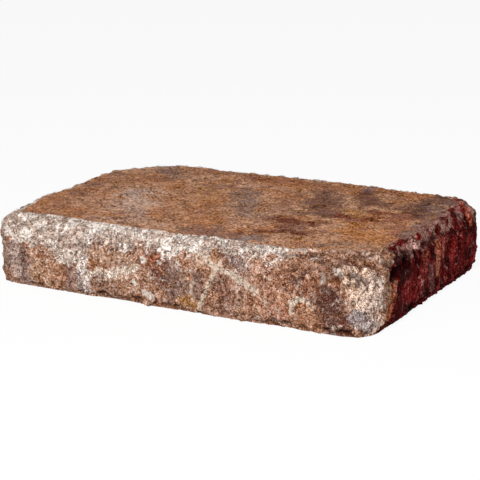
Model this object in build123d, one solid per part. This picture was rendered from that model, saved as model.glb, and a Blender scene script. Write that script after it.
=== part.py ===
from build123d import *

import os
from math import cos, radians, sin, sqrt

# A tumbled concrete paver, cast in one piece, lying on its bed face.
# X runs along its length, Y across its width, Z up through its thickness.
# The origin is the middle of the bed face. The front is the long side at -Y.

# Moulded size over the outermost points, in millimetres
length = 266.7
width = 177.8
thickness = 44.45

# The worn arrises around the wear face and the bed face
top_arris_height = 12.0
bottom_arris_height = 6.0

# Each corner: how far its wear reaches along the side before it and the side after it, counter-clockwise,
# how deep its middle is worn in along the diagonal, how much deeper in the top and in the bottom arris,
# and how much further the wear reaches at the wear face
front_right_corner = (24.0, 24.0, 9.5, 25.5, 1.5, 12.0)
back_right_corner = (22.0, 24.0, 9.5, 12.5, 1.5, 0.0)
back_left_corner = (40.0, 44.0, 27.0, 11.0, 4.0, 0.0)
front_left_corner = (24.0, 25.0, 10.5, 13.0, 1.0, 0.0)

# The angle by which the outline turns sharply where the knocked-off back left corner begins and ends
back_left_crease = 30.0

# Each side at its ends and quarter points, counter-clockwise seen from above:
# how far its face lies inside the moulded size, and how far in its two arrises are worn
front_bow = (1.2, 0.0, 0.9, 0.8, 1.2)
front_top_wear = (13.0, 14.5, 13.0, 14.5, 21.5)
front_bottom_wear = (2.0, 3.0, 1.5, 1.5, 1.5)
right_bow = (1.1, 0.0, 0.9, 0.7, 0.9)
right_top_wear = (10.5, 8.0, 7.0, 7.5, 9.0)
right_bottom_wear = (2.5, 2.5, 3.0, 1.5, 1.5)
back_bow = (1.2, 0.0, 0.9, 0.6, 1.2)
back_top_wear = (13.0, 10.0, 9.5, 12.5, 11.0)
back_bottom_wear = (3.0, 3.5, 2.5, 3.0, 4.0)
left_bow = (1.2, 0.7, 0.0, 0.8, 1.0)
left_top_wear = (10.0, 8.0, 11.0, 8.5, 14.0)
left_bottom_wear = (3.0, 3.0, 4.0, 2.5, 3.0)

# How steeply an arris round still meets the flat face, in degrees, and the steps it is lofted through
arris_meeting_angle = 16.0
top_arris_steps = 6
bottom_arris_steps = 3

# Spalls broken out of the top arris and the faces: the side, the place along it from its middle, how far down
# from the wear face, then half the spall's length and half its height on a flat surface, and its depth
top_spalls = [
    ("front", -108.0, 13.0, 9.0, 8.0, 1.0),
    ("front", -84.0, 4.0, 13.0, 6.0, 1.0),
    ("front", -38.0, 8.0, 12.0, 7.0, 1.1),
    ("front", -12.0, 12.0, 11.0, 8.0, 1.2),
    ("front", 30.0, 3.0, 14.0, 6.0, 1.2),
    ("front", 57.0, 9.0, 11.0, 7.0, 1.2),
    ("front", 86.0, 5.0, 15.0, 7.0, 1.8),
    ("front", 106.0, 17.0, 8.0, 9.0, 1.3),
    ("right", -57.0, 14.0, 7.0, 8.0, 2.2),
    ("right", -44.0, 10.0, 8.0, 5.0, 2.4),
    ("right", -24.0, 19.0, 8.0, 9.0, 1.3),
    ("right", 14.0, 6.0, 12.0, 6.0, 1.2),
    ("right", 30.0, 20.0, 7.0, 10.0, 1.2),
    ("right", 48.0, 6.0, 14.0, 7.0, 1.6),
    ("back", 62.0, 4.0, 18.0, 7.0, 1.6),
    ("back", -22.0, 3.0, 14.0, 6.0, 1.2),
    ("left", -16.0, 4.0, 15.0, 7.0, 1.4),
]

# The same for the bottom arris, with the height of each spall above the bed face
bottom_spalls = [
    ("front", -36.0, 1.0, 19.0, 5.0, 1.8),
    ("front", 77.0, 1.0, 12.0, 4.5, 1.6),
    ("front", 14.0, 1.0, 11.0, 4.0, 1.0),
    ("right", -22.0, 3.0, 14.0, 6.0, 1.8),
    ("back", -58.0, 2.0, 17.0, 5.0, 1.7),
    ("back", 34.0, 1.0, 12.0, 4.0, 1.2),
    ("left", 12.0, 2.0, 16.0, 5.0, 1.7),
]

# Rounded stones of the aggregate left standing out: the side, the place along it from its middle,
# how far down from the wear face, the stone's radius, and how far it stands out
stones = [
    ("front", 89.5, 31.5, 9.0, 1.0),
    ("front", 100.0, 6.5, 6.0, 1.1),
    ("right", -36.5, 6.5, 4.0, 1.0),
    ("right", -48.5, 5.5, 5.0, 1.2),
]


def side(outward, along, run, half, bow, top_wear, bottom_wear, corner, crease=0.0):
    """One side, with the corner that follows it counter-clockwise."""
    return {
        "outward": Vector(*outward),
        "along": Vector(*along),
        "run": run,
        "half": half,
        "bow": bow,
        "top": top_wear,
        "bottom": bottom_wear,
        "corner": corner,
        "crease": radians(crease),
    }


sides = {
    "front": side((0, -1), (1, 0), length, width / 2, front_bow, front_top_wear, front_bottom_wear,
                  front_right_corner),
    "right": side((1, 0), (0, 1), width, length / 2, right_bow, right_top_wear, right_bottom_wear,
                  back_right_corner),
    "back": side((0, 1), (-1, 0), length, width / 2, back_bow, back_top_wear, back_bottom_wear,
                 back_left_corner, back_left_crease),
    "left": side((-1, 0), (0, -1), width, length / 2, left_bow, left_top_wear, left_bottom_wear,
                 front_left_corner),
}
following = {"front": "right", "right": "back", "back": "left", "left": "front"}
before = {after: name for name, after in following.items()}

steepest = cos(radians(arris_meeting_angle))


def arris_share(into):
    """The share of an arris's wear at a height, where into is 0 at the side face and 1 at the flat face."""
    return (1 - sqrt(1 - (steepest * into) ** 2)) / (1 - sqrt(1 - steepest**2))


def shares(height):
    """How much of the top arris's and the bottom arris's wear this height has."""
    into_top = max(0.0, height - (thickness - top_arris_height)) / top_arris_height
    into_bottom = max(0.0, bottom_arris_height - height) / bottom_arris_height
    return arris_share(into_top), arris_share(into_bottom)


def corner_reach(name, end, top_share):
    """How far the corner after a side reaches: end 0 along that side, end 1 along the next."""
    corner = sides[name]["corner"]
    return corner[end] + corner[5] * top_share


def stations(name, height):
    """A side's stations at a height: places along it, with how far each lies inside the moulded size."""
    one = sides[name]
    top_share, bottom_share = shares(height)
    first = corner_reach(before[name], 1, top_share)
    last = corner_reach(name, 0, top_share)
    step = (one["run"] - first - last) / (len(one["bow"]) - 1)
    wear = zip(one["bow"], one["top"], one["bottom"])
    return [(first - one["run"] / 2 + step * n, bow + top * top_share + bottom * bottom_share)
            for n, (bow, top, bottom) in enumerate(wear)]


def on_side(name, place, inward):
    one = sides[name]
    return one["along"] * place + one["outward"] * (one["half"] - inward)


def even_spline(points, start_tangent, end_tangent):
    """A curve whose points are evenly spaced in its parameter, so that all sections share their knots."""
    parameters = [n / (len(points) - 1) for n in range(len(points))]
    return Edge.make_spline(points, tangents=[start_tangent, end_tangent], parameters=parameters)


def corner_curve(name, height, start, end):
    """The worn corner from the end of a side to the start of the next."""
    one = sides[name]
    onward = sides[following[name]]
    top_share, bottom_share = shares(height)
    depth, top_wear, bottom_wear = one["corner"][2:5]
    worn = depth + top_wear * top_share + bottom_wear * bottom_share
    sharp = one["along"] * onward["half"] + one["outward"] * one["half"]
    middle = sharp - (one["along"] + one["outward"]).normalized() * worn
    leaving = one["along"] * cos(one["crease"]) + onward["along"] * sin(one["crease"])
    arriving = onward["along"] * cos(one["crease"]) + one["along"] * sin(one["crease"])
    return even_spline([start, middle, end], leaving, arriving)


def section(height):
    """The paver's outline at one height: four waved sides joined by four worn corners."""
    runs = {name: [on_side(name, *station) for station in stations(name, height)] for name in sides}
    edges = []
    for name, points in runs.items():
        edges.append(even_spline(points, sides[name]["along"], sides[name]["along"]))
        edges.append(corner_curve(name, height, points[-1], runs[following[name]][0]))
    return Pos(0, 0, height) * make_face(Wire(edges))


def arris_depths(height, steps):
    """Distances from the flat face at which an arris of this height has its sections, even in angle."""
    angles = [arris_meeting_angle + (90 - arris_meeting_angle) * n / steps for n in range(steps + 1)]
    return [height * (1 - cos(radians(angle)) / steepest) for angle in angles]


def worn_slab():
    """The bottom arris, the side faces and the top arris, lofted through their sections."""
    lower = [section(depth) for depth in arris_depths(bottom_arris_height, bottom_arris_steps)]
    upper = [section(thickness - depth) for depth in arris_depths(top_arris_height, top_arris_steps)]
    return loft(lower + upper[::-1], ruled=True)


def surface_frame(name, place, height):
    """A plane on the paver's surface, with X along the side and Z straight out of the surface."""
    def inward_at(level):
        points = stations(name, level)
        if place <= points[0][0]:
            return points[0][1]
        for (start, start_inward), (end, end_inward) in zip(points, points[1:]):
            if place <= end:
                return start_inward + (end_inward - start_inward) * (place - start) / (end - start)
        return points[-1][1]

    reach = min(0.5, height, thickness - height)
    slope = (inward_at(height + reach) - inward_at(height - reach)) / (2 * reach)
    spot = on_side(name, place, inward_at(height))
    normal = sides[name]["outward"] + Vector(0, 0, slope)
    return Plane(origin=(spot.X, spot.Y, height), x_dir=sides[name]["along"], z_dir=normal)


def spall_cutter(name, place, height, half_long, half_high, deep):
    """A spheroid about the side's direction, whose cap has this length, height and depth."""
    across = (half_high**2 + deep**2) / (2 * deep)
    lengthwise = half_long * across / half_high
    half_oval = Ellipse(lengthwise, across) & Pos(0, across / 2) * Rectangle(2 * lengthwise, across)
    return surface_frame(name, place, height) * Pos(0, 0, across - deep) * revolve(half_oval, Axis.X)


def paver():
    worn = worn_slab()
    for name, place, drop, *size in top_spalls:
        worn -= spall_cutter(name, place, thickness - drop, *size)
    for name, place, rise, *size in bottom_spalls:
        worn -= spall_cutter(name, place, rise, *size)
    for name, place, drop, radius, stands_out in stones:
        worn += surface_frame(name, place, thickness - drop) * Pos(0, 0, stands_out - radius) * Sphere(radius)
    return worn


os.makedirs("parts", exist_ok=True)
whole = paver()
print("volume", whole.volume, "valid", whole.is_valid, whole.bounding_box(), "faces", len(whole.faces()))
export_step(whole, "parts/paver.step")
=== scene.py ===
from math import radians
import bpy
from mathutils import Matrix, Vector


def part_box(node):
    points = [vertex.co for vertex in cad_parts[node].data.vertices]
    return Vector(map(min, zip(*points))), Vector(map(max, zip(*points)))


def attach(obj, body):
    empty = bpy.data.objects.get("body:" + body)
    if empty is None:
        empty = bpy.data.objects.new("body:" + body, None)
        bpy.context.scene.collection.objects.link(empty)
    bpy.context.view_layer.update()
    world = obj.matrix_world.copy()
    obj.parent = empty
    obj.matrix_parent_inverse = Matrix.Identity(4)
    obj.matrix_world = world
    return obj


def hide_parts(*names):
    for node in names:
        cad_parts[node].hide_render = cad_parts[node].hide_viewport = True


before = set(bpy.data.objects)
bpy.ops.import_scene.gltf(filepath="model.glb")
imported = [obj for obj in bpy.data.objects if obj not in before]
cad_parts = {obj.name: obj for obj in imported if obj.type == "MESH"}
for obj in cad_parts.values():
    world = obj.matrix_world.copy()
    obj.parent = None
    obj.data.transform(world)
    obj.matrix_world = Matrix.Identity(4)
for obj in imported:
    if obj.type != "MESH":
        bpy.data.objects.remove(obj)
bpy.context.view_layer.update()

from types import SimpleNamespace
import bpy
from mathutils import Vector

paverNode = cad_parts["paver"]
paverLow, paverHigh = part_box("paver")
mm = 0.001
white = (1.0, 1.0, 1.0, 1.0)

# How much fullness a colour loses as it is made lighter, and gains as it is made darker
paling = 0.28


# A node's output that takes part in sums. Its node method adds any other node:
# the settings go in first, then the values or links of the sockets.
class Wire:
    def __init__(self, tree, made=None, out=0):
        self.tree = tree
        self.made = made
        self.socket = made.outputs[out] if made and made.outputs else None

    def node(self, kind, settings=None, sockets=None, out=0):
        made = self.tree.nodes.new(kind)
        for name, value in (settings or {}).items():
            if name == "stops":
                self.setStops(made.color_ramp.elements, value)
            else:
                setattr(made, name, value)
        for key, value in (sockets or {}).items():
            if isinstance(value, Wire):
                self.tree.links.new(value.socket, made.inputs[key])
            else:
                made.inputs[key].default_value = value
        return Wire(self.tree, made, out)

    def setStops(self, elements, stops):
        while len(elements) < len(stops):
            elements.new(0.5)
        for element, (place, colour) in zip(elements, stops):
            element.position = place
            element.color = colour

    def output(self, out):
        return Wire(self.tree, self.made, out)

    # Sums of single values
    def maths(self, operation, first, second=0.0):
        return self.node("ShaderNodeMath", {"operation": operation}, {0: first, 1: second})

    def __add__(self, other):
        return self.maths("ADD", self, other)

    def __sub__(self, other):
        return self.maths("SUBTRACT", self, other)

    def __mul__(self, other):
        return self.maths("MULTIPLY", self, other)

    def __truediv__(self, other):
        return self.maths("DIVIDE", self, other)

    def __rsub__(self, other):
        return self.maths("SUBTRACT", other, self)

    __radd__ = __add__

    def magnitude(self):
        return self.maths("ABSOLUTE", self)

    def least(self, other):
        return self.maths("MINIMUM", self, other)

    def most(self, other):
        return self.maths("MAXIMUM", self, other)

    # A pattern from 0 to 1 turned into one that swings about zero, this far in all
    def swing(self, reach):
        return (self - 0.5) * reach

    # A soft step from 0 at low to 1 at high, also where low is the larger
    def step(self, low, high):
        ends = {"Value": self, "From Min": low, "From Max": high}
        return self.node("ShaderNodeMapRange", {"interpolation_type": "SMOOTHSTEP"}, ends)

    # A value read off straight lines between (place, value) points
    def profile(self, points):
        low, high = points[0][0], points[-1][0]
        tallest = max(value for _, value in points)
        stops = [((place - low) / (high - low), (value / tallest,) * 3 + (1.0,)) for place, value in points]
        ramp = self.node("ShaderNodeValToRGB", {"stops": stops}, {"Fac": (self - low) / (high - low)})
        return ramp * tallest

    # A colour made lighter or darker: paler as it gets lighter, fuller as it gets darker
    def lit(self, factor):
        sockets = {"Color": self, "Value": factor, "Saturation": 1 + paling - factor * paling}
        return self.node("ShaderNodeHueSaturation", {}, sockets)

    # Work on vectors
    def vector(self, operation, first, second=(0.0, 0.0, 0.0), out="Vector"):
        return self.node("ShaderNodeVectorMath", {"operation": operation}, {0: first, 1: second}, out)

    def plus(self, other):
        return self.vector("ADD", self, other)

    def scaled(self, factor):
        sockets = {0: self, "Scale": factor}
        return self.node("ShaderNodeVectorMath", {"operation": "SCALE"}, sockets, "Vector")

    def stretched(self, factors):
        return self.vector("MULTIPLY", self, factors)

    # The same place measured in units of a size
    def over(self, size):
        return self.vector("DIVIDE", self, size)

    def part(self, letter):
        return self.node("ShaderNodeSeparateXYZ", {}, {"Vector": self}, letter)

    # The same place, turned about Z and shortened along that direction, so that patterns on it are drawn out
    def drawnOut(self, angle, share):
        settings = {"rotation_type": "Z_AXIS"}
        turned = self.node("ShaderNodeVectorRotate", settings, {"Vector": self, "Angle": -radians(angle)})
        return turned.stretched((share, 1.0, 1.0))

    # Patterns on a vector in millimetres, with the size of a lump or cell in millimetres
    def noise(self, size, detail=2.0, roughness=0.5, out="Fac"):
        sockets = {"Vector": self, "Scale": 1 / size, "Detail": detail, "Roughness": roughness}
        return self.node("ShaderNodeTexNoise", {"noise_dimensions": "3D"}, sockets, out)

    # A vector that varies from place to place, with parts from -0.5 to 0.5
    def stray(self, size, detail, roughness):
        colour = self.noise(size, detail, roughness, "Color")
        return colour.vector("SUBTRACT", colour, (0.5, 0.5, 0.5))

    # Rounded crumbs parted by sharp creases: 0 in a crease, about 1 on a crumb
    def crumbs(self, size):
        return (self.noise(size, 4.0, 0.65) - 0.5).magnitude() * 7.0

    # Distance from the middle of a cell
    def cells(self, size):
        sockets = {"Vector": self, "Scale": 1 / size}
        return self.node("ShaderNodeTexVoronoi", {"voronoi_dimensions": "3D"}, sockets, "Distance")

    # One of three random values that each cell has
    def tone(self, letter):
        return self.output("Color").part(letter)


# An object in the scene with this mesh, camera or lamp
def shown(name, data):
    thing = bpy.data.objects.new(name, data)
    bpy.context.scene.collection.objects.link(thing)
    return thing


# Turns a modifier's result into the object's own plain mesh
def settle(piece):
    depsgraph = bpy.context.evaluated_depsgraph_get()
    mesh = bpy.data.meshes.new_from_object(piece.evaluated_get(depsgraph), depsgraph=depsgraph)
    piece.modifiers.clear()
    old = piece.data
    piece.data = mesh
    bpy.data.meshes.remove(old)


# An sRGB colour as it is read off a paint chart, in linear light
def paint(red, green, blue):
    def linear(value):
        share = value / 255
        return share / 12.92 if share <= 0.04045 else ((share + 0.055) / 1.055) ** 2.4
    return (linear(red), linear(green), linear(blue), 1.0)


view = {
    "place": (0.485435, -0.857762, 0.300023),
    "turn": (1.29458, 0.01595, 0.51015),
    "lens": 120.452,
    "nearest": 0.01,
}


def setCamera():
    camera = shown("camera", bpy.data.cameras.new("camera"))
    camera.location = view["place"]
    camera.rotation_euler = view["turn"]
    camera.data.lens = view["lens"]
    camera.data.clip_start = view["nearest"]
    bpy.context.scene.camera = camera


setCamera()
print("camera set")


# The paver's surface: sizes and depths in millimetres
surface = {
    "Seed": 4,
    "Lump Size": 17.0,
    "Lump Depth": 0.8,
    "Stone Size": 5.4,
    "Stone Depth": 0.9,
    "Crumb Size": 4.6,
    "Crumb Depth": 1.0,
    "Pit Spacing": 6.5,
    "Pit Depth": 0.9,
    "Ridge Depth": 1.1,
    "Rubble Size": 6.5,
    "Rubble Depth": 2.1,
    "Foot Depth": 1.8,
    "Wear Wave": 0.4,
    "Wear Grain": 0.6,
    "Bed Grain": 0.5,
    "Outward Share": 1.45,
}

# Noise in the surface: the size of a lump in millimetres, how many finer layers it has, and their strength
surfaceNoise = {
    "rim": (5.0, 4.0, 0.65),
    "warp": (9.0, 2.0, 0.5),
    "crumbly": (13.0, 2.0, 0.5),
    "ridge": (5.5, 3.0, 0.6),
    "foot": (9.0, 3.0, 0.65),
    "wave": (34.0, 1.0, 0.5),
    "scar": (4.8, 4.0, 0.7),
    "bed": (4.0, 3.0, 0.65),
}

# Where each pattern or zone of the surface starts, and where it is full
surfaceSteps = {
    "onTop": (0.1, 0.4),
    "wear": (-1.6, 1.2),
    "bed": (-0.80, -0.97),
    "end": (120.0, 130.0),
    "raggedEnd": (90.0, 120.0),
    "arris": (30.0, 38.0),
    "arrisRight": (20.0, 80.0),
    "foot": (8.0, 2.0),
    "footChipHeight": (7.0, 1.5),
    "footChip": (0.50, 0.60),
    "inside": (1.0, 0.4),
    "lump": (0.25, 0.75),
    "stone": (0.66, 0.34),
    "stoneTone": (0.42, 0.62),
    "crumbly": (0.40, 0.62),
    "pit": (1.0, 0.35),
    "pitTone": (0.35, 0.45),
    "ridge": (0.32, 0.62),
    "rubble": (0.15, 0.62),
    "wave": (0.3, 0.7),
    "scar": (0.44, 0.68),
    "bedPit": (0.52, 0.68),
}

# How far in millimetres the rim strays, how far off it the sides count, and the patterns' shift and warp
surfaceReach = {
    "rim": 5.0,
    "rimAtEnd": 7.0,
    "offTop": 20.0,
    "seed": 17.3,
    "warp": 5.0,
}

# Shares of the full effect: of rubble along the arris and the foot, of scars and pits on the wear face,
# and the levels at which crumbs are flat and ridges and rubble leave the surface where it is
surfaceShares = {
    "arris": 0.25,
    "arrisRight": 0.45,
    "foot": 0.8,
    "scar": 1.7,
    "wearPit": 1.4,
    "crumbTop": 0.6,
    "crumblyLeast": 0.3,
    "pitLeast": 0.05,
    "pitMore": 0.26,
    "ridgeLevel": 0.6,
    "rubbleLevel": 0.3,
    "ridgeTall": 0.35,
}

# The direction of the scars on the wear face in degrees, and how much they are drawn out along it
scarRun = (26.0, 0.7)

# The rim of the wear face: how far it lies inside each side of the moulded size
rim = {
    "front": [(-134, 24), (-116, 13.6), (-95, 15.6), (-61, 14.5), (-28, 14.1), (5, 13.8), (23, 16.9),
              (49, 14.9), (73, 16.2), (99, 22.3), (112, 28.5), (124, 37), (134, 50)],
    "right": [(-90, 40), (-56, 13), (-48, 10.6), (-31, 10.4), (-25, 8), (-3, 7.8), (7, 7), (19, 8.3),
              (32, 9.5), (45, 10.2), (60, 11.3), (72, 11.5), (90, 24)],
    "back": [(-134, 62), (-123, 46), (-106, 27), (-89, 12), (-39, 12.7), (11, 10), (61, 10), (111, 14),
             (134, 32)],
    "left": [(-90, 26), (-65, 14.6), (-37, 9), (-10, 11), (18, 8.3), (45, 11), (90, 40)],
}

# The rubble about the near right corner: centre and half sizes
rubbleBody = ((106.0, -80.0, 38.0), (54.0, 34.0, 32.0))

# Fissures and hollows placed one by one: centre, half sizes and depth
hollows = [
    ((28.0, -76.5, 41.5), (1.2, 5.5, 5.0), 2.6),
    ((24.5, -84.0, 36.5), (1.6, 4.0, 3.0), 1.6),
    ((11.5, -86.0, 35.0), (2.0, 4.0, 2.4), 2.0),
    ((-17.5, -85.0, 36.0), (1.3, 4.0, 4.0), 1.6),
    ((55.0, -80.0, 40.0), (1.3, 5.0, 4.0), 1.8),
    ((97.0, -77.0, 40.0), (2.0, 5.0, 4.0), 2.4),
    ((113.0, -72.0, 39.0), (2.2, 5.0, 4.0), 2.8),
    ((127.0, -62.0, 36.0), (5.0, 3.0, 7.0), 3.0),
    ((131.0, -53.0, 30.0), (5.0, 4.0, 6.0), 2.8),
    ((132.0, -39.0, 33.0), (4.0, 3.0, 7.5), 3.2),
    ((132.0, -26.0, 35.0), (4.0, 3.5, 3.5), 3.0),
    ((132.0, -10.0, 34.0), (4.0, 2.5, 8.0), 1.8),
    ((132.0, 26.0, 24.0), (4.0, 2.0, 12.0), 1.8),
    ((132.0, 43.0, 26.0), (4.0, 2.5, 9.0), 1.6),
    ((132.0, -31.0, 5.0), (5.0, 7.0, 3.5), 2.4),
]


# A tree with one float input for each of the given titles, and one for the material
def startTree(name, inputs):
    tree = bpy.data.node_groups.new(name, "GeometryNodeTree")
    tree.interface.new_socket(name="Geometry", in_out="INPUT", socket_type="NodeSocketGeometry")
    for title in inputs:
        tree.interface.new_socket(name=title, in_out="INPUT", socket_type="NodeSocketFloat")
    tree.interface.new_socket(name="Material", in_out="INPUT", socket_type="NodeSocketMaterial")
    tree.interface.new_socket(name="Geometry", in_out="OUTPUT", socket_type="NodeSocketGeometry")
    return tree


def fillModifier(modifier, tree, values):
    modifier.node_group = tree
    for item in tree.interface.items_tree:
        if item.item_type == "SOCKET" and item.in_out == "INPUT" and item.name in values:
            value = values[item.name]
            modifier[item.identifier] = value if item.socket_type == "NodeSocketMaterial" else float(value)


def keepAttribute(wire, geometry, name, value, kind="FLOAT"):
    sockets = {"Geometry": geometry, "Name": name, "Value": value}
    return wire.node("GeometryNodeStoreNamedAttribute", {"data_type": kind, "domain": "POINT"}, sockets)


def readAttribute(wire, name, kind="FLOAT"):
    return wire.node("GeometryNodeInputNamedAttribute", {"data_type": kind}, {"Name": name})


# A pattern's soft step, with the ends that surfaceSteps lists for it
def stepped(pattern, name):
    return pattern.step(*surfaceSteps[name])


# How far inside an ellipsoid a place is: 1 towards its middle, 0 at its skin and beyond
def insideOf(place, at, half):
    offset = place.vector("SUBTRACT", place, at)
    return stepped(place.vector("LENGTH", offset.over(half), out="Value"), "inside")


# Distance in plan from the rim of the wear face, positive on the wear face
def rimDistance(x, y):
    halfLength = paverHigh[0] / mm
    halfWidth = paverHigh[1] / mm
    front = y + halfWidth - x.profile(rim["front"])
    back = halfWidth - y - x.profile(rim["back"])
    right = halfLength - x - y.profile(rim["right"])
    left = x + halfLength - y.profile(rim["left"])
    return front.least(back).least(right.least(left))


# The direction in which each point faces, evened out over its neighbours
def facingOf(start):
    sockets = {"Value": start.node("GeometryNodeInputNormal"), "Iterations": 8}
    facing = start.node("GeometryNodeBlurAttribute", {"data_type": "FLOAT_VECTOR"}, sockets)
    return facing.vector("NORMALIZE", facing)


# Where the surface is wear face, bed, side, end or chipped, each from 0 to 1
def zonesOf(place, seeded, up):
    x = place.part("X")
    z = place.part("Z")
    onTop = stepped(up, "onTop")
    reach = stepped(x, "raggedEnd") * surfaceReach["rimAtEnd"] + surfaceReach["rim"]
    ragged = seeded.noise(*surfaceNoise["rim"]).swing(reach)
    wearReach = (rimDistance(x, place.part("Y")) + ragged) * onTop - (1 - onTop) * surfaceReach["offTop"]
    wear = stepped(wearReach, "wear")
    bed = stepped(up, "bed")
    side = (1 - wear) * (1 - bed)
    end = stepped(x, "end") * side
    rubble = insideOf(place, *rubbleBody) * side
    alongArris = stepped(x, "arrisRight") * surfaceShares["arrisRight"] + surfaceShares["arris"]
    arris = stepped(z, "arris") * alongArris
    foot = stepped(z, "foot") * surfaceShares["foot"]
    chipped = rubble.most(arris.most(foot)) * side
    return SimpleNamespace(wearReach=wearReach, wear=wear, bed=bed, side=side, end=end, chipped=chipped)


# Stones standing proud of the matrix, crumbs and pits, each from 0 to 1
def grainOf(seeded, warped, size):
    stones = warped.over(size["Stone Size"]).cells(1.0)
    stoneTone = stones.tone("X")
    stone = stepped(stones, "stone") * stepped(stoneTone, "stoneTone")
    crumbTop = surfaceShares["crumbTop"]
    crumb = warped.over(size["Crumb Size"]).crumbs(1.0).least(crumbTop) / crumbTop
    crumblyLeast = surfaceShares["crumblyLeast"]
    crumbly = seeded.noise(*surfaceNoise["crumbly"])
    crumbly = stepped(crumbly, "crumbly") * (1 - crumblyLeast) + crumblyLeast
    pits = seeded.over(size["Pit Spacing"]).cells(1.0)
    pitTone = pits.tone("Y")
    pitRadius = pitTone * surfaceShares["pitMore"] + surfaceShares["pitLeast"]
    pit = stepped(pits / pitRadius, "pit") * stepped(pitTone, "pitTone")
    return SimpleNamespace(stone=stone, stoneTone=stoneTone, crumb=crumb, crumbly=crumbly, pit=pit)


# How far the cast sides are sunk: between lumps, stones and crumbs, in pits, hollows and chips
def sunkSide(place, seeded, warped, size, zone, grain):
    lump = stepped(seeded.over(size["Lump Size"]).noise(1.0), "lump")
    tall = seeded.stretched((1.0, 1.0, surfaceShares["ridgeTall"]))
    ridge = stepped(tall.noise(*surfaceNoise["ridge"]), "ridge")
    rubble = stepped(warped.over(size["Rubble Size"]).cells(1.0), "rubble")
    footChip = stepped(seeded.noise(*surfaceNoise["foot"]), "footChip")
    footChip = stepped(place.part("Z"), "footChipHeight") * footChip * zone.side

    sunk = (1 - lump) * size["Lump Depth"]
    sunk = sunk + (1 - grain.stone) * size["Stone Depth"]
    sunk = sunk + (1 - grain.crumb) * grain.crumbly * size["Crumb Depth"]
    sunk = sunk + grain.pit * size["Pit Depth"]
    sunk = sunk + (surfaceShares["ridgeLevel"] - ridge) * zone.end * size["Ridge Depth"]
    sunk = sunk + (rubble - surfaceShares["rubbleLevel"]) * zone.chipped * size["Rubble Depth"]
    sunk = sunk + footChip * size["Foot Depth"]
    for at, half, deep in hollows:
        sunk = sunk + insideOf(place, at, half) * deep
    return sunk


# How far the wear face is worn down: a slow wave, scars and small pits
def wornTop(seeded, size, grain):
    wave = stepped(seeded.noise(*surfaceNoise["wave"]), "wave")
    scar = stepped(seeded.drawnOut(*scarRun).noise(*surfaceNoise["scar"]), "scar")
    worn = (1 - wave) * size["Wear Wave"]
    worn = worn + scar * size["Wear Grain"] * surfaceShares["scar"]
    return worn + grain.pit * size["Wear Grain"] * surfaceShares["wearPit"]


# How far the bed face is pitted, between flats that stay on the ground
def pittedBed(seeded, size, grain):
    return (stepped(seeded.noise(*surfaceNoise["bed"]), "bedPit") + grain.pit) * size["Bed Grain"]


# Each point moves by its relief along the direction it faced, and stays inside the solid's box
def moved(start, geometry, place):
    relief = readAttribute(start, "relief")
    facing = readAttribute(start, "facing", "FLOAT_VECTOR")
    target = place.plus(facing.scaled(relief)).scaled(mm)
    target = target.vector("MINIMUM", target.vector("MAXIMUM", target, paverLow), paverHigh)
    return start.node("GeometryNodeSetPosition", {}, {"Geometry": geometry, "Position": target})


def reliefTree():
    tree = startTree("paverRelief", surface)
    start = Wire(tree)
    given = start.node("NodeGroupInput")
    size = {title: given.output(title) for title in surface}

    place = start.node("GeometryNodeInputPosition").scaled(1 / mm)
    facing = facingOf(start)
    seeded = place.plus(size["Seed"] * surfaceReach["seed"])
    warped = seeded.plus(seeded.stray(*surfaceNoise["warp"]).scaled(surfaceReach["warp"]))
    zone = zonesOf(place, seeded, facing.part("Z"))
    grain = grainOf(seeded, warped, size)
    sunk = sunkSide(place, seeded, warped, size, zone, grain)
    worn = wornTop(seeded, size, grain)
    pitted = pittedBed(seeded, size, grain)
    relief = (size["Outward Share"] - sunk) * zone.side - worn * zone.wear - pitted * zone.bed

    geometry = given.output("Geometry")
    vectors = {"restPlace": place, "facing": facing, "grainPlace": warped}
    for name, value in vectors.items():
        geometry = keepAttribute(start, geometry, name, value, "FLOAT_VECTOR")
    values = {"crumbly": grain.crumbly, "wearReach": zone.wearReach, "stone": grain.stone,
              "stoneTone": grain.stoneTone, "relief": relief}
    for name, value in values.items():
        geometry = keepAttribute(start, geometry, name, value)

    geometry = moved(start, geometry, place)
    geometry = start.node("GeometryNodeRealizeInstances", {}, {"Geometry": geometry})
    sockets = {"Geometry": geometry, "Material": given.output("Material")}
    geometry = start.node("GeometryNodeSetMaterial", {}, sockets)
    start.node("NodeGroupOutput", {}, {"Geometry": geometry})
    return tree


# How finely the surface is cut up, and the most triangles it may keep
meshing = {
    "voxel": 0.85 * mm,
    "quickVoxel": 1.6 * mm,
    "weld": 0.001 * mm,
    "triangles": 192000,
}


def triangleCount(piece):
    piece.data.calc_loop_triangles()
    return len(piece.data.loop_triangles)


def makePaver(material):
    piece = shown("paverCast", paverNode.data.copy())
    piece.data.materials.clear()
    weld = piece.modifiers.new("weld", "WELD")
    weld.merge_threshold = meshing["weld"]
    remesh = piece.modifiers.new("remesh", "REMESH")
    remesh.mode = "VOXEL"
    remesh.voxel_size = meshing["voxel"]
    settle(piece)
    print("remeshed:", len(piece.data.polygons), "faces")

    modifier = piece.modifiers.new("relief", "NODES")
    fillModifier(modifier, reliefTree(), {**surface, "Material": material})
    settle(piece)
    count = triangleCount(piece)
    if count > meshing["triangles"]:
        thin = piece.modifiers.new("thin", "DECIMATE")
        thin.ratio = meshing["triangles"] / count
        settle(piece)
    piece.data.shade_smooth()
    print("relief:", triangleCount(piece), "triangles")
    return piece


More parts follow.
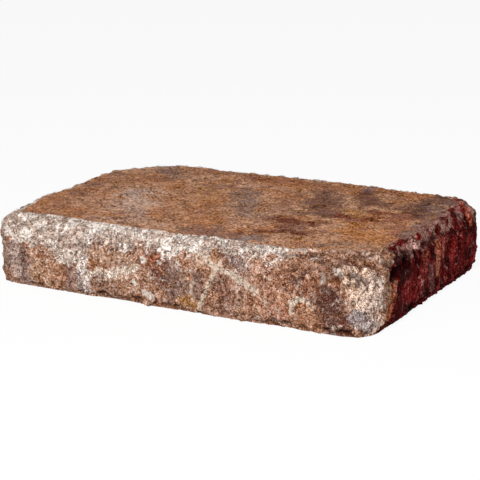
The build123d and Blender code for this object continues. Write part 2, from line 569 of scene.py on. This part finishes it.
# The finish. Colours are as on a paint chart, places in millimetres from the middle of the bed.
finish = {
    "tan": paint(188, 138, 104),
    "tanOrange": paint(180, 118, 72),
    "tanGrey": paint(160, 128, 108),
    # The dark of the scars, marks, cracks and specks on the wear face, and also painted shade in its pores
    "scar": paint(84, 44, 30),
    "brown": paint(170, 122, 94),
    "brownWarm": paint(178, 122, 84),
    # The dark of the specks, and also painted shade in pits, creases and hollows; after it, the painted shade
    # on the end
    "gap": paint(70, 32, 20),
    "paintedShadeEnd": paint(30, 4, 4),
    "cream": paint(252, 240, 230),
    "creamShade": paint(214, 190, 174),
    "maroon": paint(122, 4, 2),
    "maroonDark": paint(40, 3, 3),
    "maroonPale": paint(196, 112, 92),
    # The crust on the end's upper arris, made pale partly as painted highlight
    "arrisCrustAndHighlight": paint(182, 134, 120),
    "roughness": 0.86,
    "specular": 0.03,
    "bump": 0.8 * mm,
}

# How light each part is painted: the middle factor, then the least and the most. On the sides and the end the
# patterns that swing it are partly painted light and shade, lighter where the bump stands high and darker in
# its dips; the rest is random tone.
shade = {
    "top": (1.26, 0.35, 1.5),
    "side": (1.28, 0.25, 1.62),
    "end": (1.08, 0.35, 1.7),
}

# How far patterns swing a value: the painted light and tone on each part, how stains break up, and edges in
# millimetres
swings = {
    "topLight": {"roughTop": 2.0, "gritTop": 5.0, "sand": 0.3},
    "sideLight": {"rough": 4.0, "bloom": 1.5, "grit": 5.0, "sand": 0.5},
    "endLight": {"rough": 5.0, "grit": 4.0, "sand": 0.5},
    "topBreakup": {"roughTop": 5.0, "middle": 3.0},
    "sideBreakup": {"rough": 4.0, "middle": 2.0},
    "crust": {"wobble": 12.0, "middle": 22.0},
    "endArris": {"wobble": 12.0},
    "endEdge": {"wobble": 9.0},
    "endBack": {"wobble": 6.0},
    "wear": {"rough": 6.0},
    "roughness": {"fine": 0.2},
}

# Values that are scaled and moved: by how much they are multiplied, and what is added
ranges = {
    "marksWhereScarred": (0.5, 0.1),
    "poresWhereScarred": (0.7, 0.15),
    "lightWhereScarred": (3.6, 0.0),
    "bloomOnCrust": (0.35, 0.35),
    "crustCover": (0.9, 0.0),
    "grainOffCrust": (0.08, 0.06),
    "endGrain": (1.0, 0.06),
    "stoneTone": (1.6, -0.7),
    "brightestOnCrust": (-0.32, 0.0),
    # chipLight and facetLight paint the raised chips and facets of the bump lighter: painted light
    "chipLight": (0.36, 0.82),
    "facetLight": (0.24, 0.90),
    "markBreakup": (0.5, 0.45),
}

# Where the end's colour begins round the near corner: its y at middle height, the heights below and above
# which the line leans, and how much it leans there
cornerLine = {
    "y": -58.0,
    "low": 18.0,
    "leanLow": 0.85,
    "high": 34.0,
    "leanHigh": 1.2,
}

# How high each pattern stands in the bump
bumpHeights = {
    "rough": 1.4,
    "crumb": 0.5,
    "crumbSmall": 0.4,
    "chips": 0.5,
    "facets": 0.6,
    "poresSunk": 0.6,
}

# How a pattern shows in the finish: where it starts, where it is full, and how strong it is there
showing = {
    "tanOrange": (0.38, 0.62, 1.0),
    "tanGrey": (0.52, 0.72, 0.5),
    "scarred": (0.40, 0.62, 1.0),
    "marks": (0.56, 0.66, 1.0),
    # poresTop here and pores below darken the pits that poresSunk sinks in the bump: painted shade
    "poresTop": (0.59, 0.65, 1.0),
    "cracks": (0.018, 0.004, 0.8),
    "crackPlaces": (0.42, 0.58, 1.0),
    "specksTop": (0.60, 0.64, 0.6),
    "brownWarm": (0.36, 0.64, 1.0),
    "crust": (-1.5, 1.5, 1.0),
    "crustShade": (0.56, 0.44, 1.0),
    "crustLoss": (60.0, 110.0, 0.2),
    "cornerX": (118.0, 128.0, 1.0),
    "cornerY": (-76.0, -66.0, 1.0),
    "bloom": (0.55, 0.63, 1.0),
    "stone": (0.25, 0.6, 0.15),
    "pores": (0.585, 0.62, 0.75),
    "specks": (0.575, 0.60, 0.65),
    "maroon": (0.38, 0.60, 1.0),
    "endArris": (33.0, 40.0, 0.9),
    "endArrisPlaces": (0.44, 0.54, 1.0),
    "endGrain": (0.4, 0.6, 0.1),
    "maroonPale": (0.62, 0.72, 0.08),
    "endEdge": (-1.2, 1.6, 1.0),
    "endX": (112.0, 120.0, 1.0),
    "endBack": (86.0, 80.0, 1.0),
    # The next three darken the creases between crumbs, the small creases and the hollows of the relief:
    # painted shade
    "crumbCreaseShade": (0.16, 0.05, 0.85),
    "smallCreaseShade": (0.16, 0.05, 0.8),
    "deep": (-0.4, -2.4, 0.8),
    "wear": (-0.7, 0.7, 1.0),
    "poresSunk": (0.52, 0.66, 1.0),
}

# Noise in the finish: the size of a lump in millimetres, how many finer layers it has, and their strength
finishNoise = {
    "warp": (6.0, 4.0, 0.65),
    "fray": (2.2, 3.0, 0.7),
    "drift": (20.0, 2.0, 0.5),
    "broad": (26.0, 3.0, 0.55),
    "scarred": (19.0, 3.0, 0.6),
    "bloom": (9.0, 4.0, 0.7),
    "middle": (8.0, 3.0, 0.6),
    "runs": (5.5, 4.0, 0.65),
    "rough": (3.4, 4.0, 0.85),
    "wobble": (3.0, 3.0, 0.6),
    "small": (2.8, 4.0, 0.7),
    "pores": (2.1, 3.0, 0.7),
    "specks": (1.15, 2.0, 0.75),
    "fine": (1.0, 1.0, 0.5),
    "grit": (0.75, 1.0, 1.0),
}

# Noise drawn out along the wear face: its direction in degrees and how much it is drawn out, then as above
streakNoise = {
    "roughTop": (24.0, 0.7, 6.0, 5.0, 0.8),
    "specksTop": (24.0, 0.55, 1.5, 2.0, 0.75),
    "gritTop": (24.0, 0.6, 0.85, 1.0, 1.0),
    "marks": (26.0, 0.8, 4.4, 5.0, 0.75),
    "cracks": (20.0, 0.6, 5.5, 4.0, 0.7),
}

# Cells in the finish: their size in millimetres
cellSize = {
    "grain": 2.6,
    "chip": 1.7,
    "facet": 3.8,
    "sand": 0.95,
    "smallCrumb": 2.4,
}

# How far the edges of stains stray, in millimetres
strayReach = {
    "stain": 10.0,
    "endStain": 5.0,
    "mark": 4.0,
    "drift": 26.0,
    "chip": 2.5,
    "facet": 6.0,
}

# The edges of stains: how soft each kind's is, and how the breakup pattern parts it
stainEdge = {
    "top": 1.0,
    "side": 0.7,
    "mark": 0.6,
    "gain": 1.6,
    "cut": 0.95,
}

# Grain colours with the share of the grains up to which each goes
sideGrains = [(0.0, (78, 44, 32)), (0.13, (152, 98, 68)), (0.32, (198, 158, 138)), (0.52, (152, 110, 86)),
              (0.74, (138, 112, 104)), (0.86, (240, 222, 206))]
endGrains = [(0.0, (30, 3, 3)), (0.3, (108, 10, 6)), (0.66, (132, 26, 14)), (0.84, (92, 30, 28)),
             (0.95, (180, 96, 72))]

# Stains: name, the two ends of a line in it, how far it reaches from the line, colour and strength.
# These lie on the wear face, in plan.
topStains = [
    ("blue-grey run", (-98, 74), (-78, 44), 9, (112, 96, 92), 0.78),
    ("lilac grey", (-72, -8), (-56, -36), 13, (206, 170, 148), 0.85),
    ("lilac grey", (-52, -42), (-40, -56), 7, (176, 142, 126), 0.7),
    ("grey", (-84, 6), (-72, -6), 7, (176, 148, 134), 0.7),
    ("orange", (-104, 20), (-84, 40), 10, (160, 104, 64), 0.75),
    ("brown", (-112, 10), (-108, -25), 7, (128, 84, 62), 0.65),
    ("orange", (-112, -45), (-92, -58), 8, (164, 102, 62), 0.75),
    ("ochre", (-44, 34), (-26, 4), 8, (178, 120, 66), 0.65),
    ("orange", (-20, -8), (-4, -24), 8, (170, 110, 66), 0.65),
    ("pale tan", (-66, -66), (-20, -64), 6, (190, 148, 120), 0.65),
    ("grey run", (-14, 34), (18, -20), 8, (130, 110, 102), 0.65),
    ("plum", (2, -62), (34, -66), 8, (126, 92, 80), 0.8),
    ("grey", (30, -74), (48, -66), 6, (138, 120, 116), 0.85),
    ("plum grey", (38, 44), (58, 6), 13, (98, 64, 54), 0.82),
    ("blue-grey", (54, 76), (62, 64), 6, (96, 84, 90), 0.85),
    ("plum", (60, 56), (80, 40), 10, (98, 58, 48), 0.8),
    ("rust", (38, -22), (66, -20), 7, (90, 34, 16), 0.92),
    ("rust", (44, -48), (66, -42), 6, (94, 36, 18), 0.92),
    ("rust", (70, 2), (96, 4), 5, (112, 42, 18), 0.92),
    ("rust", (86, 16), (98, 22), 5, (118, 48, 24), 0.8),
    ("plum", (50, -35), (62, -33), 5, (118, 78, 70), 0.75),
    ("ochre", (92, -22), (108, -34), 12, (182, 114, 52), 0.92),
    ("ochre", (72, 14), (82, 8), 5, (182, 124, 62), 0.85),
    ("tan", (54, -54), (82, -50), 6, (180, 132, 94), 0.65),
    ("grey", (112, 68), (106, 22), 12, (92, 60, 52), 0.92),
    ("orange", (66, 74), (92, 66), 7, (166, 100, 54), 0.75),
    ("orange brown", (-20, 70), (30, 66), 9, (150, 88, 52), 0.75),
    ("orange brown", (-70, 72), (-30, 72), 8, (148, 90, 54), 0.65),
    ("grey", (92, -58), (104, -52), 6, (140, 112, 98), 0.65),
    ("brown", (20, 20), (30, 0), 7, (140, 96, 74), 0.55),
    ("mauve rim", (121, 72), (124, -20), 6, (122, 94, 88), 0.8),
    ("red brown", (100, 16), (114, -12), 7, (150, 84, 54), 0.65),
]

# Stains on the front face and the near corner; on the near corner the pale pink is partly painted light
frontStains = [
    ("plum", (-112, -88, 22), (-104, -88, 8), 8, (178, 152, 142), 0.9),
    ("dark run", (-106, -88, 24), (-106, -88, 4), 2, (80, 44, 38), 0.75),
    ("cream", (-125, -84, 30), (-123, -86, 14), 5, (160, 138, 122), 0.8),
    ("orange", (-96, -88, 10), (-88, -88, 5), 6, (202, 152, 108), 0.8),
    ("rust", (-84, -88, 20), (-80, -88, 6), 6, (198, 140, 102), 0.75),
    ("mauve", (-71, -88, 20), (-69, -88, 5), 4, (130, 96, 88), 0.85),
    ("pale run", (-61, -88, 36), (-60, -88, 4), 5, (242, 228, 218), 0.92),
    ("dark run", (-64, -88, 14), (-63, -88, 4), 2.5, (90, 74, 76), 0.65),
    ("rust", (-54, -88, 29), (-26, -88, 27), 5, (190, 146, 114), 0.85),
    ("pale band", (-54, -88, 16), (-38, -88, 17), 3.5, (234, 214, 194), 0.85),
    ("pale band", (-38, -88, 17), (-22, -88, 23), 3.5, (234, 214, 194), 0.85),
    ("brown", (-50, -88, 8), (-38, -88, 8), 6, (150, 110, 88), 0.65),
    ("ochre", (-33, -88, 12), (-28, -88, 5), 4, (178, 122, 80), 0.75),
    ("rust", (-14, -88, 31), (-2, -88, 29), 4.5, (158, 82, 48), 0.88),
    ("dark rust", (-8, -88, 22), (-4, -88, 16), 4, (112, 58, 42), 0.85),
    ("grey brown", (4, -88, 24), (8, -88, 10), 9, (128, 102, 92), 0.85),
    ("grey run", (21, -88, 24), (21, -88, 6), 4, (122, 98, 92), 0.75),
    ("ochre", (8, -88, 7), (20, -88, 6), 4, (182, 124, 48), 0.92),
    ("orange", (29, -84, 40), (31, -88, 35), 4, (176, 112, 56), 0.92),
    ("mauve grey", (40, -82, 41), (50, -88, 34), 6, (152, 130, 124), 0.88),
    ("plum", (36, -88, 22), (40, -88, 8), 5, (120, 76, 62), 0.75),
    ("smear", (48.5, -88, 22), (48.7, -88, 4), 2, (192, 162, 140), 0.55),
    ("warm brown", (46, -88, 24), (64, -88, 10), 9, (158, 110, 82), 0.5),
    ("pink brown", (66, -88, 30), (76, -88, 14), 11, (178, 126, 98), 0.6),
    ("rust", (78, -88, 10), (72, -88, 4), 5, (150, 78, 48), 0.75),
    ("rust", (92, -88, 28), (88, -88, 20), 4, (156, 84, 52), 0.65),
    ("warm brown", (72, -88, 30), (96, -88, 26), 9, (176, 118, 86), 0.5),
    ("warm brown", (60, -88, 14), (94, -88, 10), 8, (184, 124, 88), 0.5),
    ("plum", (106, -88, 24), (112, -88, 8), 9, (80, 42, 38), 0.92),
    ("dark rust", (106, -88, 3), (118, -88, 3), 4, (96, 50, 40), 0.85),
    ("rust", (112, -84, 36), (110, -88, 30), 3, (188, 114, 68), 0.75),
    # The next two are pale pink colour and partly painted light on the rounded near corner
    ("pale pink and painted light", (121, -84, 38), (127, -84, 22), 8, (250, 214, 184), 0.88),
    ("pale pink and painted light", (131, -78, 30), (130, -78, 8), 9, (230, 202, 184), 0.85),
    ("blue-grey", (123, -88, 13), (129, -82, 6), 6, (164, 156, 158), 0.85),
]

# Marks that lie over the grains: scrapes, white stones and the pale rim of a round stone
frontMarks = [
    ("white stone", (109, -84, 39), (112, -86, 37), 2.2, (240, 226, 212), 0.85),
    ("white stone", (119, -84, 38.5), (122, -83, 36), 1.9, (250, 236, 222), 0.85),
    ("pale streak", (116, -88, 33), (121, -88, 22), 1.0, (244, 224, 206), 0.7),
    ("white stone", (102, -86, 35), (102.6, -88, 31.5), 1.7, (240, 226, 212), 0.75),
    ("white stone", (-17, -88, 30), (-16, -88, 28), 1.5, (246, 236, 224), 0.9),
    ("white stone", (-6, -88, 29), (-5, -88, 28), 1.4, (246, 236, 224), 0.9),
    ("white stone", (-15, -88, 8), (-11, -88, 6.5), 2, (236, 222, 208), 0.92),
    ("white stone", (-23, -88, 15), (-22, -88, 13), 1.4, (240, 226, 212), 0.92),
    ("scrape", (21, -87, 38), (33, -88, 31), 2.1, (236, 214, 194), 0.8),
    ("scrape", (33, -88, 31), (42, -88, 29), 1.7, (236, 214, 194), 0.85),
    ("scrape", (42, -88, 29), (60, -88, 20), 2.2, (236, 214, 194), 0.85),
    ("scrape", (37, -88, 34), (31, -88, 25), 1.3, (236, 214, 194), 0.8),
    ("scrape", (31, -88, 25), (21, -88, 3), 1.5, (236, 214, 194), 0.75),
    ("stone rim", (82.2, -88, 10), (83, -88, 15.5), 1.1, (244, 226, 204), 0.85),
    ("stone rim", (83, -88, 15.5), (86, -88, 18.6), 1.3, (244, 226, 204), 0.95),
    ("stone rim", (86, -88, 18.6), (90, -88, 19.4), 1.4, (244, 226, 204), 0.95),
    ("stone rim", (90, -88, 19.4), (94, -88, 17.8), 1.1, (236, 212, 190), 0.75),
    ("stone rim", (94, -88, 17.8), (95.8, -88, 14), 1.0, (230, 202, 180), 0.65),
    ("scrape", (17, -88, 20), (17, -88, 12), 1.3, (220, 200, 182), 0.75),
]

# Stains on the right-hand end, and painted shadow in its hollows
endStains = [
    ("bright maroon", (132, -42, 22), (132, -28, 12), 7, (152, 16, 10), 0.7),
    ("bright maroon", (132, 34, 26), (132, 30, 14), 6, (146, 14, 10), 0.7),
    ("orange run", (132, 8, 32), (132, 9, 14), 3, (214, 126, 90), 0.65),
    ("orange run", (132, 16, 33), (132, 15, 22), 2, (190, 100, 72), 0.65),
    ("orange run", (132, -12, 32), (132, -10, 24), 4, (170, 70, 44), 0.65),
    ("pink spot", (132, -19, 19), (132, -17, 15), 2, (230, 160, 146), 0.92),
    ("grey run", (132, -2, 20), (132, 0, 8), 4, (130, 84, 78), 0.65),
    ("orange foot", (132, -54, 24), (130, -63, 3), 3.5, (190, 96, 46), 0.8),
    ("orange corner", (126, 64, 41), (130, 62, 34), 4, (206, 84, 36), 0.92),
    ("dark foot", (132, -48, 18), (132, -54, 4), 5, (52, 8, 6), 0.8),
    # The next four are painted shadow in the hollows of the end
    ("painted shadow foot", (132, -36, 4), (132, -26, 3), 4, (24, 4, 4), 0.85),
    ("painted shadow run", (132, 26, 34), (132, 25, 8), 1.8, (34, 4, 4), 0.85),
    ("painted shadow run", (132, -48, 38), (132, -46, 26), 5, (28, 8, 10), 0.95),
    ("painted shadow run", (132, -39, 40), (132, -37, 26), 4, (24, 6, 6), 0.9),
    ("pink stone", (131, -27, 41), (132, -22, 40), 2.4, (226, 176, 162), 0.88),
]

# How high the foot of the pale crust lies along the front
crustFoot = [(-134, 33), (-117, 32), (-107, 27), (-91, 26), (-77, 20), (-66, 17), (-58, 30), (-52, 33),
             (-32, 34), (-18, 36), (0, 33.5), (13, 34), (20, 38), (27, 38), (36, 40), (44, 38), (60, 39),
             (73, 40), (90, 43), (104, 48), (134, 50)]


def mixed(amount, first, second):
    return amount.node("ShaderNodeMix", {"data_type": "RGBA"}, {0: amount, 6: first, 7: second}, 2)


# A pattern's share of the finish, as listed in showing
def shareOf(pattern, name):
    low, high, strong = showing[name]
    return pattern.step(low, high) * strong


# A value with patterns swinging it, as listed in swings
def swung(at, value, name):
    for pattern, reach in swings[name].items():
        value = value + getattr(at, pattern).swing(reach)
    return value


# A value scaled and moved, as listed in ranges
def ranged(value, name):
    factor, added = ranges[name]
    return value * factor + added


# A stain's share at a place: full along the line between its ends, with a soft edge
def stainShare(place, start, end, wide, soft):
    start = Vector(start).to_3d()
    run = Vector(end).to_3d() - start
    offset = place.vector("SUBTRACT", place, start)
    along = place.vector("DOT_PRODUCT", offset, run / run.length_squared, out="Value")
    along = place.node("ShaderNodeClamp", {}, {"Value": along})
    nearest = place.node("ShaderNodeVectorMath", {"operation": "SCALE"}, {0: run, "Scale": along})
    gap = place.vector("LENGTH", place.vector("SUBTRACT", offset, nearest), out="Value")
    return (gap / wide).step(1 + soft, 1 - soft)


# Lays stains over a colour. Where one is thin, the breakup pattern parts it into flecks.
def stained(colour, place, stains, soft, breakup):
    for name, start, end, wide, tint, strong in stains:
        share = stainShare(place, start, end, wide, soft) * stainEdge["gain"] + breakup - stainEdge["cut"]
        colour = mixed(share.most(0.0).least(1.0) * strong, colour, paint(*tint))
        colour.made.label = name
    return colour


def grainColour(tone, grains):
    stops = [(share, paint(*tint)) for share, tint in grains]
    ramp = tone.node("ShaderNodeValToRGB", {"stops": stops}, {"Fac": tone})
    ramp.made.color_ramp.interpolation = "CONSTANT"
    return ramp


def meshValue(start, name, out="Fac"):
    return start.node("ShaderNodeAttribute", {"attribute_name": name}, out=out)


# What the colours are made from: the values kept on the mesh, the place, and the patterns on it
def patternsOn(start):
    place = meshValue(start, "restPlace", "Vector")
    grainPlace = meshValue(start, "grainPlace", "Vector")
    at = SimpleNamespace(place=place, x=place.part("X"), y=place.part("Y"), z=place.part("Z"))
    for name in ("relief", "crumbly", "wearReach", "stone", "stoneTone"):
        setattr(at, name, meshValue(start, name))

    for name in ("broad", "scarred", "middle", "rough", "wobble", "small", "pores", "specks", "fine", "grit"):
        setattr(at, name, place.noise(*finishNoise[name]))
    for name, (angle, share, *noise) in streakNoise.items():
        setattr(at, name, place.drawnOut(angle, share).noise(*noise))
    at.bloom = place.plus((40.0, 20.0, 10.0)).noise(*finishNoise["bloom"])
    at.runs = place.stretched((1.0, 1.0, 0.45)).noise(*finishNoise["runs"])

    warp = place.stray(*finishNoise["warp"])
    fray = place.stray(*finishNoise["fray"]).scaled(strayReach["mark"])
    drift = place.stray(*finishNoise["drift"]).scaled(strayReach["drift"])
    at.ragged = place.plus(warp.scaled(strayReach["stain"]))
    at.raggedEnd = place.plus(warp.scaled(strayReach["endStain"]))
    at.frayed = place.plus(fray.plus(warp.scaled(strayReach["mark"])))
    at.plan = at.ragged.plus(drift).stretched((1.0, 1.0, 0.0))

    at.crumb = grainPlace.crumbs(surface["Crumb Size"])
    at.crumbSmall = place.crumbs(cellSize["smallCrumb"])
    at.grainTone = grainPlace.cells(cellSize["grain"]).tone("X")
    at.chips = place.plus(warp.scaled(strayReach["chip"])).cells(cellSize["chip"]).tone("Y")
    at.facets = place.plus(warp.scaled(strayReach["facet"])).cells(cellSize["facet"]).tone("Z")
    at.sand = place.cells(cellSize["sand"]).tone("X")
    at.breakup = swung(at, 0.5, "sideBreakup")
    return at


# The wear face: tan with stains, then scars, cracks and specks, and painted shade in the pores, all in random
# streaks of light and dark
def topColour(at):
    colour = mixed(shareOf(at.broad, "tanOrange"), finish["tan"], finish["tanOrange"])
    colour = mixed(shareOf(at.middle, "tanGrey"), colour, finish["tanGrey"])
    colour = stained(colour, at.plan, topStains, stainEdge["top"], swung(at, 0.5, "topBreakup"))

    scarred = shareOf(at.scarred, "scarred")
    marks = shareOf(at.marks, "marks") * ranged(scarred, "marksWhereScarred")
    # Pores: painted shade in the pits of the bump, mostly where scarred
    pores = shareOf(at.pores, "poresTop") * ranged(scarred, "poresWhereScarred")
    cracks = shareOf(at.cracks.swing(1.0).magnitude(), "cracks") * shareOf(at.middle, "crackPlaces")
    for pattern in (marks, pores, cracks, shareOf(at.specksTop, "specksTop")):
        colour = mixed(pattern, colour, finish["scar"])

    middle, least, most = shade["top"]
    light = swung(at, middle, "topLight") + at.roughTop.swing(ranged(scarred, "lightWhereScarred"))
    return colour.lit(light.most(least).least(most))


# The share of the pale crust: above its foot on the front, thinner to the right, and none round the corner
def crustShare(at):
    height = swung(at, at.z, "crust") - at.x.profile(crustFoot)
    roundCorner = shareOf(at.x, "cornerX") * shareOf(at.y, "cornerY")
    return shareOf(height, "crust") * (1 - roundCorner) * (1 - shareOf(at.x, "crustLoss"))


# The other sides: a brown matrix with stains, crust, grains and stones, then painted light and shade that
# partly follows the bump, marks, painted shade in the pores, and dark specks
def sideColour(at):
    colour = mixed(shareOf(at.broad, "brownWarm"), finish["brown"], finish["brownWarm"])
    colour = stained(colour, at.ragged, frontStains, stainEdge["side"], at.breakup)

    crust = crustShare(at)
    crustColour = mixed(shareOf(at.bloom, "crustShade"), finish["cream"], finish["creamShade"])
    bloom = shareOf(at.bloom, "bloom") * ranged(crust, "bloomOnCrust")
    colour = mixed(bloom, colour, finish["creamShade"])
    colour = mixed(ranged(crust, "crustCover"), colour, crustColour)
    colour = mixed(ranged(1 - crust, "grainOffCrust"), colour, grainColour(at.grainTone, sideGrains))
    stoneColour = grainColour(ranged(at.stoneTone, "stoneTone"), sideGrains)
    colour = mixed(shareOf(at.stone, "stone"), colour, stoneColour)

    # Painted light and shade, partly following the bump: lighter on its raised grain, chips and facets,
    # darker in its dips, mixed with random tone
    middle, least, most = shade["side"]
    light = swung(at, middle, "sideLight").most(least).least(ranged(crust, "brightestOnCrust") + most)
    colour = colour.lit(light * ranged(at.chips, "chipLight") * ranged(at.facets, "facetLight"))
    markBreakup = ranged(at.breakup, "markBreakup")
    colour = stained(colour, at.frayed, frontMarks, stainEdge["mark"], markBreakup)
    # Painted shade in the pits of the bump, then dark specks
    colour = mixed(shareOf(at.pores, "pores"), colour, finish["gap"])
    return mixed(shareOf(at.specks, "specks"), colour, finish["gap"])


# The right-hand end: maroon, with a paler crust on its upper arris that is partly painted highlight
def endColour(at):
    colour = mixed(shareOf(at.runs, "maroon"), finish["maroonDark"], finish["maroon"])
    arris = shareOf(swung(at, at.z, "endArris"), "endArris") * shareOf(at.middle, "endArrisPlaces")
    colour = mixed(arris, colour, finish["arrisCrustAndHighlight"])
    colour = stained(colour, at.raggedEnd, endStains, stainEdge["side"], at.breakup)
    grain = ranged(shareOf(at.small, "endGrain"), "endGrain")
    colour = mixed(grain, colour, grainColour(at.grainTone, endGrains))
    colour = mixed(shareOf(at.rough, "maroonPale"), colour, finish["maroonPale"])
    # Painted light and shade, partly following the bump: lighter where it stands high, mixed with random tone
    middle, least, most = shade["end"]
    return colour.lit(swung(at, middle, "endLight").most(least).least(most))


# The share of the end's colour: past the near corner, up to the back corner
def endShare(at):
    below = (cornerLine["low"] - at.z).most(0.0) * cornerLine["leanLow"]
    above = (at.z - cornerLine["high"]).most(0.0) * cornerLine["leanHigh"]
    pastCorner = shareOf(swung(at, at.y - cornerLine["y"] + below - above, "endEdge"), "endEdge")
    beforeBack = shareOf(swung(at, at.y, "endBack"), "endBack")
    return pastCorner * shareOf(at.x, "endX") * beforeBack


# Painted shade: darkening in the creases between the crumbs, in the small creases of the bump and in the
# hollows of the relief
def withPaintedShade(colour, at, gap):
    colour = mixed(shareOf(at.crumb, "crumbCreaseShade") * at.crumbly, colour, gap)
    colour = mixed(shareOf(at.crumbSmall, "smallCreaseShade") * shareOf(at.middle, "crackPlaces"), colour, gap)
    return mixed(shareOf(at.relief, "deep"), colour, gap)


# Grain too fine for the mesh
def grainBump(at):
    height = at.rough * bumpHeights["rough"]
    height = height + at.crumb.least(0.5) * bumpHeights["crumb"]
    height = height + at.crumbSmall.least(0.5) * bumpHeights["crumbSmall"]
    height = height + at.chips * bumpHeights["chips"] + at.facets * bumpHeights["facets"]
    height = height - shareOf(at.pores, "poresSunk") * bumpHeights["poresSunk"]
    return height.node("ShaderNodeBump", {}, {"Strength": 1.0, "Distance": finish["bump"], "Height": height})


def concrete():
    material = bpy.data.materials.new("tumbledConcrete")
    material.use_nodes = True
    material.node_tree.nodes.clear()
    start = Wire(material.node_tree)
    at = patternsOn(start)

    share = endShare(at)
    sides = mixed(share, sideColour(at), endColour(at))
    # Painted shade in the creases and hollows of the sides, darker on the end
    sides = withPaintedShade(sides, at, mixed(share, finish["gap"], finish["paintedShadeEnd"]))
    wear = shareOf(swung(at, at.wearReach, "wear"), "wear")
    sockets = {
        "Base Color": mixed(wear, sides, topColour(at)),
        "Roughness": swung(at, finish["roughness"], "roughness"),
        "Specular IOR Level": finish["specular"],
        "Normal": grainBump(at),
    }
    shader = start.node("ShaderNodeBsdfPrincipled", {}, sockets)
    start.node("ShaderNodeOutputMaterial", {}, {"Surface": shader})
    return material


paver = makePaver(concrete())
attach(paver, "root")
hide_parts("paver")
print("paver made")


# Floor, lamp and world
studio = {
    "floorHalf": 3.0,
    "floorDrop": 0.1 * mm,
    "floorGrey": 0.9,
    "floorGlow": 0.9,
    "worldStrength": 0.32,
    "keyPlace": (0.32, -1.05, 1.0),
    "keySize": 0.32,
    "keyPower": 20.0,
}


# 1 for rays that see the background directly, in a reflection or through glass
def backgroundRay(wire):
    path = wire.node("ShaderNodeLightPath")
    camera, glossy, passing = [path.output(f"Is {kind} Ray") for kind in ("Camera", "Glossy", "Transmission")]
    return camera.most(glossy.most(passing))


def floorMaterial():
    material = bpy.data.materials.new("paleFloor")
    material.use_nodes = True
    material.node_tree.nodes.clear()
    start = Wire(material.node_tree)
    grey = (studio["floorGrey"],) * 3 + (1.0,)
    lit = start.node("ShaderNodeBsdfDiffuse", {}, {"Color": grey})
    glow = start.node("ShaderNodeEmission", {}, {"Color": white, "Strength": 1.0})
    glowing = start.node("ShaderNodeMixShader", {}, {0: studio["floorGlow"], 1: lit, 2: glow})
    floor = start.node("ShaderNodeMixShader", {}, {0: backgroundRay(start), 1: lit, 2: glowing})
    start.node("ShaderNodeOutputMaterial", {}, {"Surface": floor})
    return material


def makeFloor():
    half = studio["floorHalf"]
    low = -studio["floorDrop"]
    ground = bpy.data.meshes.new("floor")
    corners = [(-half, -half, low), (half, -half, low), (half, half, low), (-half, half, low)]
    ground.from_pydata(corners, [], [(0, 1, 2, 3)])
    ground.materials.append(floorMaterial())
    shown("floor", ground)


def makeWorld():
    world = bpy.data.worlds.new("studio")
    world.use_nodes = True
    world.node_tree.nodes.clear()
    start = Wire(world.node_tree)
    sockets = {"Color": white, "Strength": studio["worldStrength"]}
    light = start.node("ShaderNodeBackground", {}, sockets)
    plain = start.node("ShaderNodeBackground", {}, {"Color": white, "Strength": 1.0})
    sky = start.node("ShaderNodeMixShader", {}, {0: backgroundRay(start), 1: light, 2: plain})
    start.node("ShaderNodeOutputWorld", {}, {"Surface": sky})
    bpy.context.scene.world = world


def makeKeyLamp():
    lamp = bpy.data.lights.new("key", "AREA")
    lamp.size = studio["keySize"]
    lamp.energy = studio["keyPower"]
    key = shown("key", lamp)
    key.location = studio["keyPlace"]
    key.rotation_euler = (-Vector(studio["keyPlace"])).to_track_quat("-Z", "Y").to_euler()


makeFloor()
makeWorld()
makeKeyLamp()
bpy.context.scene.view_settings.view_transform = "Standard"
print("studio made")
